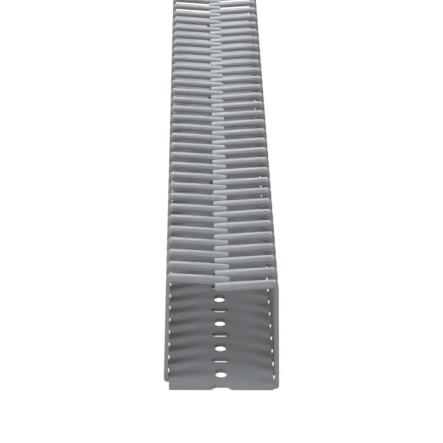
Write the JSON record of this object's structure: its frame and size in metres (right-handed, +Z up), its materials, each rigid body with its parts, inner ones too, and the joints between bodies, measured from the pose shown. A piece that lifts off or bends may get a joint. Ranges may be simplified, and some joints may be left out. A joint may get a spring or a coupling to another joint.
{
  "type": "slotted wire duct",
  "caption": "Flexible slotted wiring duct: a perforated flat base with two rows of bent fingers that interleave over the top and hold wires in.",
  "frame": {"origin": "middle of the underside of the base", "axes": "+X across the duct, +Y along it, +Z up from the base to the closed top"},
  "size_m": [0.05, 0.5, 0.05],
  "materials": {
    "duct": "matte moulded grey"
  },
  "bodies": {
    "root": {"duct": "duct"}
  },
  "joints": []
}
